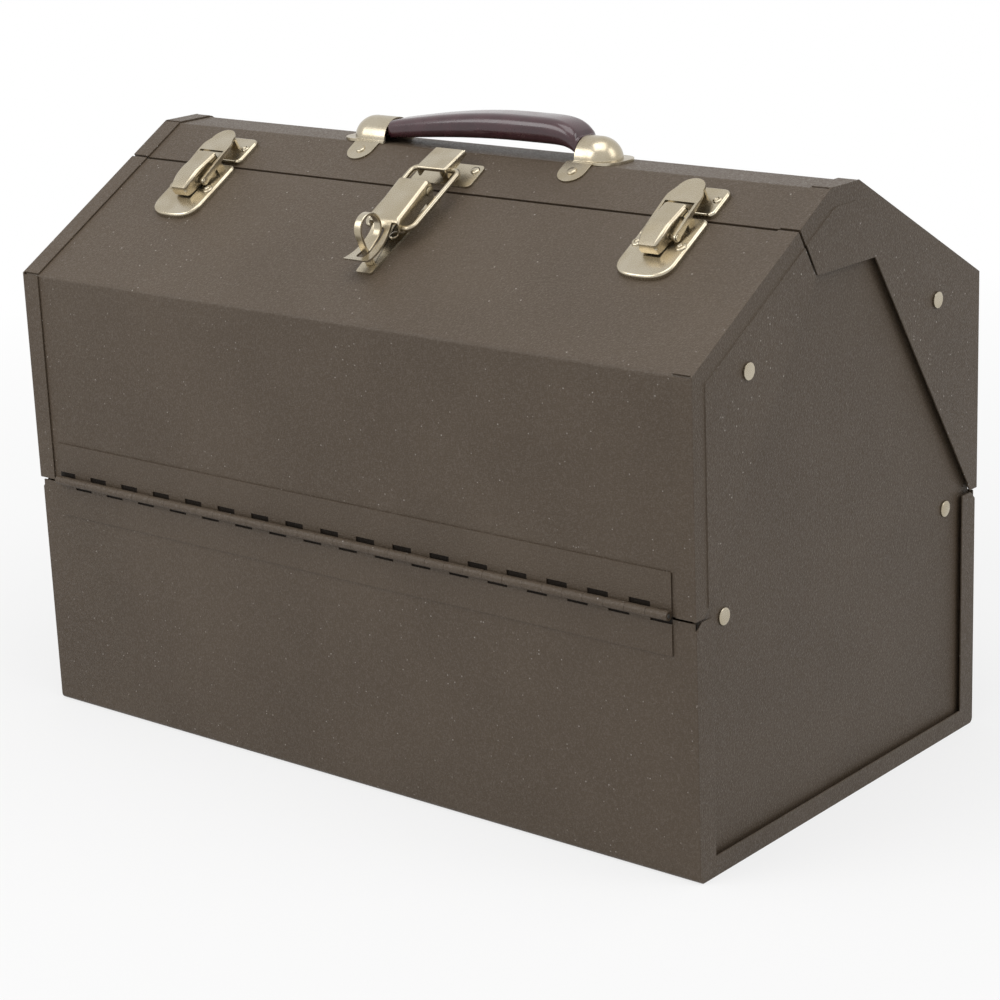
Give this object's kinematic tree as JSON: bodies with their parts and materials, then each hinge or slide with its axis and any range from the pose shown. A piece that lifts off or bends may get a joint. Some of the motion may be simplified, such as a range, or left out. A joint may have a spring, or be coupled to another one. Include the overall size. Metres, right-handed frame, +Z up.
{
  "type": "cantilever toolbox",
  "caption": "Steel toolbox with a sloped top split into two hinged lids that swing out level trays on arms, draw latches, a padlock hasp and a strap handle.",
  "frame": {"origin": "on the floor under the middle of the case", "axes": "+Z up, front with the latches towards -Y, +X to the right seen from the front"},
  "size_m": [0.4664, 0.273, 0.3466],
  "materials": {
    "wrinkle_paint": "brown wrinkle paint with a fine sparkle",
    "painted_steel": "smooth brown paint",
    "nickel_plate": "dull nickel plate",
    "zinc_steel": "zinc-plated steel",
    "grip_vinyl": "glossy oxblood vinyl"
  },
  "bodies": {
    "base": {"base_wrap": "wrinkle_paint", "base_end_right": "wrinkle_paint", "base_end_left": "wrinkle_paint", "base_hinge_leaf_front": "wrinkle_paint", "base_hinge_leaf_rear": "wrinkle_paint", "hinge_pin_front": "zinc_steel", "hinge_pin_rear": "zinc_steel", "arm_pivot_rivets": "nickel_plate"},
    "front_lid": {"front_lid_wrap": "wrinkle_paint", "front_lid_end_right": "wrinkle_paint", "front_lid_end_left": "wrinkle_paint", "lid_hinge_leaf_front": "wrinkle_paint", "front_lid_tray_pivots": "nickel_plate", "latch_plate_right": "nickel_plate", "latch_plate_left": "nickel_plate", "latch_pin_right": "nickel_plate", "latch_pin_left": "nickel_plate", "latch_rivets": "nickel_plate", "hasp_plate": "nickel_plate", "hasp_rivets": "nickel_plate", "hasp_pin": "nickel_plate", "padlock_eye": "nickel_plate"},
    "rear_lid": {"rear_lid_wrap": "wrinkle_paint", "rear_lid_end_right": "wrinkle_paint", "rear_lid_end_left": "wrinkle_paint", "lid_hinge_leaf_rear": "wrinkle_paint", "rear_lid_tray_pivots": "nickel_plate", "latch_strike_right": "nickel_plate", "latch_strike_left": "nickel_plate", "strike_rivets": "nickel_plate", "hasp_keeper": "nickel_plate", "keeper_rivets": "nickel_plate", "handle_cap_right": "nickel_plate", "handle_cap_left": "nickel_plate", "handle_rivets": "nickel_plate"},
    "front_tray": {"front_tray_pan": "painted_steel", "front_tray_end_right": "painted_steel", "front_tray_end_left": "painted_steel", "front_tray_arm_pivots": "nickel_plate"},
    "rear_tray": {"rear_tray_pan": "painted_steel", "rear_tray_end_right": "painted_steel", "rear_tray_end_left": "painted_steel", "rear_tray_arm_pivots": "nickel_plate"},
    "front_arm_right": {"front_arm_right": "zinc_steel"},
    "front_arm_left": {"front_arm_left": "zinc_steel"},
    "rear_arm_right": {"rear_arm_right": "zinc_steel"},
    "rear_arm_left": {"rear_arm_left": "zinc_steel"},
    "latch_lever_right": {"latch_lever_right": "nickel_plate", "tongue_pin_right": "nickel_plate"},
    "latch_lever_left": {"latch_lever_left": "nickel_plate", "tongue_pin_left": "nickel_plate"},
    "latch_tongue_right": {"latch_tongue_right": "nickel_plate"},
    "latch_tongue_left": {"latch_tongue_left": "nickel_plate"},
    "hasp_lever": {"hasp_lever": "nickel_plate"},
    "hasp_bail": {"hasp_bail": "nickel_plate", "hasp_hook": "nickel_plate"},
    "handle": {"handle_strap": "zinc_steel", "handle_grip": "grip_vinyl"}
  },
  "joints": [
    {"name": "front_lid_hinge", "type": "hinge", "parent": "base", "child": "front_lid", "pos_m": [0, -0.13385, 0.138], "axis": [1, 0, 0], "range_deg": [0, 78]},
    {"name": "rear_lid_hinge", "type": "hinge", "parent": "base", "child": "rear_lid", "pos_m": [0, 0.13385, 0.138], "axis": [-1, 0, 0], "range_deg": [0, 78]},
    {"name": "front_tray_swing", "type": "hinge", "parent": "front_lid", "child": "front_tray", "pos_m": [0, -0.087, 0.2504], "axis": [1, 0, 0], "range_deg": [-78, 0]},
    {"name": "rear_tray_swing", "type": "hinge", "parent": "rear_lid", "child": "rear_tray", "pos_m": [0, 0.087, 0.2504], "axis": [-1, 0, 0], "range_deg": [-78, 0]},
    {"name": "front_arm_right_pivot", "type": "hinge", "parent": "base", "child": "front_arm_right", "pos_m": [0.2257, -0.104, 0.1313], "axis": [1, 0, 0], "range_deg": [0, 78]},
    {"name": "front_arm_left_pivot", "type": "hinge", "parent": "base", "child": "front_arm_left", "pos_m": [-0.2257, -0.104, 0.1313], "axis": [1, 0, 0], "range_deg": [0, 78]},
    {"name": "rear_arm_right_pivot", "type": "hinge", "parent": "base", "child": "rear_arm_right", "pos_m": [0.2257, 0.104, 0.1313], "axis": [-1, 0, 0], "range_deg": [0, 78]},
    {"name": "rear_arm_left_pivot", "type": "hinge", "parent": "base", "child": "rear_arm_left", "pos_m": [-0.2257, 0.104, 0.1313], "axis": [-1, 0, 0], "range_deg": [0, 78]},
    {"name": "latch_lever_right_pivot", "type": "hinge", "parent": "front_lid", "child": "latch_lever_right", "pos_m": [0.163, -0.04783, 0.31145], "axis": [-1, 0, 0], "range_deg": [0, 85]},
    {"name": "latch_tongue_right_pivot", "type": "hinge", "parent": "latch_lever_right", "child": "latch_tongue_right", "pos_m": [0.163, -0.06092, 0.30412], "axis": [-1, 0, 0], "range_deg": [-85, 0]},
    {"name": "latch_lever_left_pivot", "type": "hinge", "parent": "front_lid", "child": "latch_lever_left", "pos_m": [-0.163, -0.04783, 0.31145], "axis": [-1, 0, 0], "range_deg": [0, 85]},
    {"name": "latch_tongue_left_pivot", "type": "hinge", "parent": "latch_lever_left", "child": "latch_tongue_left", "pos_m": [-0.163, -0.06092, 0.30412], "axis": [-1, 0, 0], "range_deg": [-85, 0]},
    {"name": "hasp_lever_pivot", "type": "hinge", "parent": "front_lid", "child": "hasp_lever", "pos_m": [0, -0.05683, 0.31203], "axis": [-1, 0, 0], "range_deg": [0, 100]},
    {"name": "hasp_bail_pivot", "type": "hinge", "parent": "hasp_lever", "child": "hasp_bail", "pos_m": [0, -0.07891, 0.29627], "axis": [-1, 0, 0], "range_deg": [-100, 0]},
    {"name": "handle_lift", "type": "slide", "parent": "rear_lid", "child": "handle", "axis": [0, 0, 1], "range_m": [0, 0.004]}
  ],
  "couplings": [
    {"joint": "front_tray_swing", "follows": "front_lid_hinge", "ratio": -1},
    {"joint": "rear_tray_swing", "follows": "rear_lid_hinge", "ratio": -1},
    {"joint": "front_arm_right_pivot", "follows": "front_lid_hinge", "ratio": 1},
    {"joint": "front_arm_left_pivot", "follows": "front_lid_hinge", "ratio": 1},
    {"joint": "rear_arm_right_pivot", "follows": "rear_lid_hinge", "ratio": 1},
    {"joint": "rear_arm_left_pivot", "follows": "rear_lid_hinge", "ratio": 1},
    {"joint": "latch_tongue_right_pivot", "follows": "latch_lever_right_pivot", "ratio": -1},
    {"joint": "latch_tongue_left_pivot", "follows": "latch_lever_left_pivot", "ratio": -1},
    {"joint": "hasp_bail_pivot", "follows": "hasp_lever_pivot", "ratio": -1}
  ]
}
